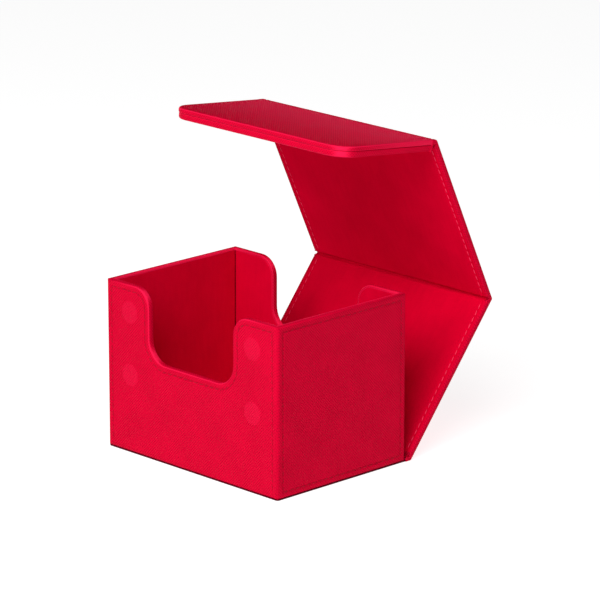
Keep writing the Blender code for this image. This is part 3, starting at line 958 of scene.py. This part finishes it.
def run_on(steps):
    """Extrudes the selected edge step by step, through points across the fold."""
    for (was_y, was_z), (y, z) in zip(steps, steps[1:]):
        bpy.ops.mesh.extrude_region_move(TRANSFORM_OT_translate={"value": (0, y - was_y, z - was_z)})


def bend_between(strip, name, reach):
    """Bakes a strip's place into its mesh. It does not make the strip bend with its fold."""
    axis_point, _, before, after = fold_places[name]
    along = Vector((0, reach, 0))
    axis_point - before.to_3x3() @ along
    axis_point + after.to_3x3() @ along
    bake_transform(strip)


FOLDS = (("base_fold", "tray", "back_panel"), ("top_fold", "back_panel", "top_panel"),
         ("flap_fold", "top_panel", "front_flap"))

# The inner side of each fold: distance from the fold's axis along the panel, and height over the axis
PANEL_HEIGHT = LID_PANEL - HINGE_DEPTH
BASE_SIDE = ((FOLD_SETBACK, 0.0009), (0.0014, 0.0009), (0.0007, 0.0006))
PANEL_SIDE = ((FOLD_SETBACK, PANEL_HEIGHT), (0.0020, PANEL_HEIGHT), (0.0016, 0.00130), (0.0011, 0.0008),
              (0.0006, 0.0005))
FLAP_SIDE = ((0.0034, FLAP - HINGE_DEPTH), (0.0029, FLAP - HINGE_DEPTH), (0.0024, 0.0037), (0.0021, 0.0032),
             (0.0020, 0.0018), (0.0016, 0.0012), (0.0009, 0.0009), (0.0006, 0.0006))
SIDES = {"base_fold": (BASE_SIDE, PANEL_SIDE), "top_fold": (PANEL_SIDE, PANEL_SIDE),
         "flap_fold": (PANEL_SIDE, FLAP_SIDE)}
GUSSET_SHY = 0.00003  # the closed end of a fold stays this far inside the panels' edges
GUSSET_DEPTH = 0.0014
GUSSET_CORE = 0.0003  # how near to the axis's outer side it comes


def beyond(turn, along, height):
    """A point across the fold, given on the panel after it: how far along, and how high over the axis."""
    return (along * cos(turn) - height * sin(turn), -HINGE_DEPTH - along * sin(turn) - height * cos(turn))


def crease_line(name, turn):
    """The inner surface of a fold, from the panel before it to the panel after it."""
    near_side, far_side = SIDES[name]
    line = [(-along, -HINGE_DEPTH - height) for along, height in near_side]
    return line + [beyond(turn, along, height) for along, height in reversed(far_side)]


def crease(name, half_width, line):
    """A sheet along the crease line, of the leatherette's thickness, that shows on the inside."""
    sheet = blank(name, half_width, line[0][0], line[1][0])
    bpy.ops.mesh.select_all(action="SELECT")
    bpy.ops.transform.translate(value=(0, 0, line[0][1]))
    pick("EDGE", lambda edge: abs(middle(edge).y - line[1][0]) < FINE)
    run_on(line[1:])
    bpy.ops.mesh.select_all(action="SELECT")
    bpy.ops.mesh.flip_normals()
    thicken(sheet, LEATHER)
    return sheet


def gusset(side, turn, line):
    """The closed end of a fold at one edge of the lid, between the outer and the inner surface."""
    outer = [beyond(turn * step / FOLD_STEPS, 0, -GUSSET_CORE) for step in range(FOLD_STEPS + 1)]
    ring = line + [beyond(turn, FOLD_SETBACK, -GUSSET_CORE)] + outer[::-1]
    ring += [(-FOLD_SETBACK, GUSSET_CORE - HINGE_DEPTH)]
    bpy.ops.object.select_all(action="DESELECT")
    bpy.ops.mesh.primitive_circle_add(vertices=len(ring), radius=FOLD_SETBACK, fill_type="NGON")
    plate = bpy.context.object
    for vert, (y, z) in zip(plate.data.vertices, ring):
        vert.co = (side * (LID_HALF - GUSSET_SHY), y, z)
    edit(plate)
    bpy.ops.mesh.select_all(action="SELECT")
    bpy.ops.mesh.extrude_region_move(TRANSFORM_OT_translate={"value": (-side * GUSSET_DEPTH, 0, 0)})
    bpy.ops.mesh.select_all(action="SELECT")
    bpy.ops.mesh.normals_make_consistent(inside=False)
    bpy.ops.object.mode_set(mode="OBJECT")
    return plate


for name, first_body, second_body in FOLDS:
    _, turn, before, _ = fold_places[name]
    line = crease_line(name, turn)
    strip = blank(name + "_cover", LID_HALF, -SPARE, SPARE)
    # Modelled flat up to the axis, turned round it, and run on along the next panel
    wrap(LID_EDGE_RADIUS + FOLD_SIDE, LID_EDGE_RADIUS, seam_dip(LID_SEAM_INSET), 0, 0)
    cut_square(-FOLD_SETBACK, 0)
    pick("EDGE", lambda edge: edge.is_boundary and max(abs(vert.co.y) for vert in edge.verts) < FINE)
    # Spin turns against the right-hand rule, so this bends the strip inwards
    bpy.ops.mesh.spin(steps=FOLD_STEPS, angle=turn, center=(0, 0, -HINGE_DEPTH), axis=(1, 0, 0))
    bpy.ops.mesh.extrude_region_move(TRANSFORM_OT_translate={
        "value": (0, FOLD_SETBACK * cos(turn), -FOLD_SETBACK * sin(turn))})
    bpy.ops.mesh.select_all(action="SELECT")
    bpy.ops.mesh.remove_doubles(threshold=FINE / 10)
    thicken(strip, LEATHER)
    closings = [gusset(side, turn, line) for side in (-1, 1)]
    if name == "base_fold":
        closings.append(crease("base_crease", LID_HALF - GUSSET_DEPTH / 2, line))
    join_to(strip, closings)
    settle(strip, before)
    strip.data.materials.append(LEATHERETTE)
    bend_between(strip, name, FOLD_SETBACK)
    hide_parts(name + "_skin")

for name, first_body, second_body in FOLDS[1:]:
    _, turn, before, _ = fold_places[name]
    strip = crease(name + "_lining_sheet", LID_HALF - LID_LINING_INSET, crease_line(name, turn))
    settle(strip, before)
    strip.data.materials.append(MICROFIBRE)
    bend_between(strip, name, FOLD_SETBACK / 2)
    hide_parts(name + "_lining")


# ---------------------------------------------------------------------------------------------------
# The scene is brought up to date.
# ---------------------------------------------------------------------------------------------------

bpy.context.view_layer.update()
